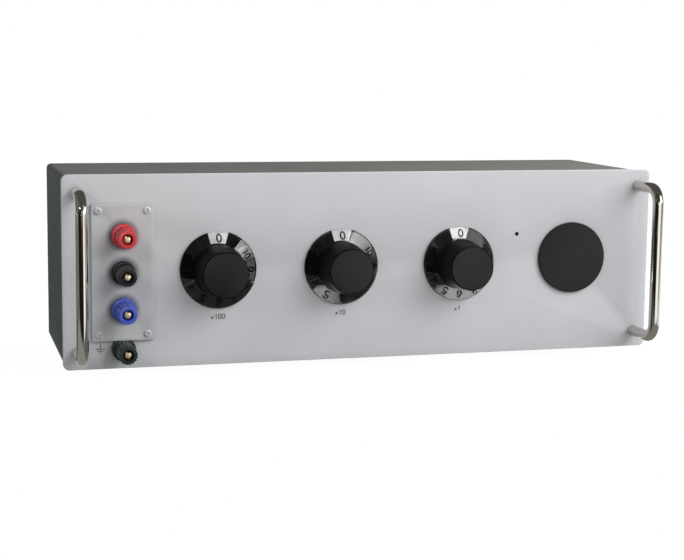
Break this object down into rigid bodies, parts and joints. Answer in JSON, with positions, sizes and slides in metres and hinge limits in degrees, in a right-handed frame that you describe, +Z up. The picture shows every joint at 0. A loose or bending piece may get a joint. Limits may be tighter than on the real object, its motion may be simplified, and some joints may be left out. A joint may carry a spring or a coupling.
{
  "type": "resistance box",
  "caption": "Bench resistance box: wide grey panel with fluted binding posts, turning decade dials under clear skirts and chromed pull handles on a folded dark case.",
  "frame": {"origin": "on the floor, under the middle of the box's bounding box", "axes": "+X to the right along the panel, +Y from the panel towards the rear cover, +Z up"},
  "size_m": [0.434, 0.1758, 0.1392],
  "materials": {
    "panel_paint": "smooth satin light grey enamel",
    "case_paint": "satin dark grey enamel",
    "handle_chrome": "polished chrome plate",
    "plate_plastic": "grey satin insulating sheet",
    "red_plastic": "moulded red plastic",
    "black_plastic": "moulded black plastic",
    "blue_plastic": "moulded blue plastic",
    "green_plastic": "moulded dark green plastic",
    "gold_brass": "gold-flashed brass",
    "screw_nylon": "moulded white nylon",
    "plain_brass": "turned brass",
    "plated_steel": "nickel-plated steel",
    "mask_black": "matte black laminate",
    "window_white": "matte white laminate",
    "skirt_clear": "polished clear acrylic",
    "grip_black": "polished black phenolic",
    "face_charcoal": "matte charcoal disc",
    "deck_ceramic": "glazed ceramic",
    "pillar_phenolic": "laminated phenolic",
    "resistor_enamel": "lacquered resistor body",
    "lead_sleeve": "white wire insulation",
    "guard_sheet": "mill finish sheet",
    "foot_rubber": "moulded black rubber"
  },
  "bodies": {
    "box": {"front_panel": "panel_paint", "case_sleeve": "case_paint", "rear_cover": "case_paint", "case_screws": "plated_steel", "rubber_feet": "foot_rubber", "left_handle": "handle_chrome", "right_handle": "handle_chrome", "handle_screws": "plated_steel", "terminal_plate": "plate_plastic", "terminal_plate_screws": "screw_nylon", "post_studs": "gold_brass", "post_nuts": "plain_brass", "post_lugs": "plated_steel", "dial_masks": "mask_black", "dial_windows": "window_white", "blank_cover": "face_charcoal", "panel_nuts": "plated_steel", "switch_frames": "plated_steel", "detent_springs": "plated_steel", "insulating_pillars": "pillar_phenolic", "deck_screws": "plated_steel", "stator_decks": "deck_ceramic", "contact_studs": "plain_brass", "collector_rings": "plain_brass", "decade_resistors": "resistor_enamel", "hookup_leads": "lead_sleeve", "guard_plate": "guard_sheet", "red_post_base": "red_plastic", "black_post_base": "black_plastic", "blue_post_base": "blue_plastic", "ground_post_base": "green_plastic"},
    "red_washer": {"red_post_washer": "plated_steel"},
    "red_cap": {"red_post_cap": "red_plastic"},
    "black_washer": {"black_post_washer": "plated_steel"},
    "black_cap": {"black_post_cap": "black_plastic"},
    "blue_washer": {"blue_post_washer": "plated_steel"},
    "blue_cap": {"blue_post_cap": "blue_plastic"},
    "ground_washer": {"ground_post_washer": "plated_steel"},
    "ground_cap": {"ground_post_cap": "green_plastic"},
    "dial_1": {"dial_1_grip": "grip_black", "dial_1_skirt": "skirt_clear", "dial_1_face": "face_charcoal", "dial_1_collet": "plain_brass", "dial_1_shaft": "plated_steel", "dial_1_rotor": "deck_ceramic", "dial_1_wiper": "plain_brass"},
    "dial_2": {"dial_2_grip": "grip_black", "dial_2_skirt": "skirt_clear", "dial_2_face": "face_charcoal", "dial_2_collet": "plain_brass", "dial_2_shaft": "plated_steel", "dial_2_rotor": "deck_ceramic", "dial_2_wiper": "plain_brass"},
    "dial_3": {"dial_3_grip": "grip_black", "dial_3_skirt": "skirt_clear", "dial_3_face": "face_charcoal", "dial_3_collet": "plain_brass", "dial_3_shaft": "plated_steel", "dial_3_rotor": "deck_ceramic", "dial_3_wiper": "plain_brass"}
  },
  "joints": [
    {"name": "red_cap_travel", "type": "slide", "parent": "box", "child": "red_washer", "axis": [0, -1, 0], "range_m": [0, 0.005]},
    {"name": "red_cap_turn", "type": "hinge", "parent": "red_washer", "child": "red_cap", "pos_m": [-0.1764, -0.05985, 0.0979], "axis": [0, -1, 0], "range_deg": [0, 1800]},
    {"name": "black_cap_travel", "type": "slide", "parent": "box", "child": "black_washer", "axis": [0, -1, 0], "range_m": [0, 0.005]},
    {"name": "black_cap_turn", "type": "hinge", "parent": "black_washer", "child": "black_cap", "pos_m": [-0.1764, -0.05985, 0.0725], "axis": [0, -1, 0], "range_deg": [0, 1800]},
    {"name": "blue_cap_travel", "type": "slide", "parent": "box", "child": "blue_washer", "axis": [0, -1, 0], "range_m": [0, 0.005]},
    {"name": "blue_cap_turn", "type": "hinge", "parent": "blue_washer", "child": "blue_cap", "pos_m": [-0.1764, -0.05985, 0.0471], "axis": [0, -1, 0], "range_deg": [0, 1800]},
    {"name": "ground_cap_travel", "type": "slide", "parent": "box", "child": "ground_washer", "axis": [0, -1, 0], "range_m": [0, 0.005]},
    {"name": "ground_cap_turn", "type": "hinge", "parent": "ground_washer", "child": "ground_cap", "pos_m": [-0.1764, -0.05985, 0.0198], "axis": [0, -1, 0], "range_deg": [0, 1800]},
    {"name": "dial_1_turn", "type": "hinge", "parent": "box", "child": "dial_1", "pos_m": [-0.1106, -0.04985, 0.0725], "axis": [0, 1, 0], "range_deg": [0, 300]},
    {"name": "dial_2_turn", "type": "hinge", "parent": "box", "child": "dial_2", "pos_m": [-0.0222, -0.04985, 0.0725], "axis": [0, 1, 0], "range_deg": [0, 300]},
    {"name": "dial_3_turn", "type": "hinge", "parent": "box", "child": "dial_3", "pos_m": [0.0662, -0.04985, 0.0725], "axis": [0, 1, 0], "range_deg": [0, 300]}
  ],
  "couplings": [
    {"joint": "red_cap_turn", "follows": "red_cap_travel", "rad_per_m": 6283.2},
    {"joint": "black_cap_turn", "follows": "black_cap_travel", "rad_per_m": 6283.2},
    {"joint": "blue_cap_turn", "follows": "blue_cap_travel", "rad_per_m": 6283.2},
    {"joint": "ground_cap_turn", "follows": "ground_cap_travel", "rad_per_m": 6283.2}
  ]
}
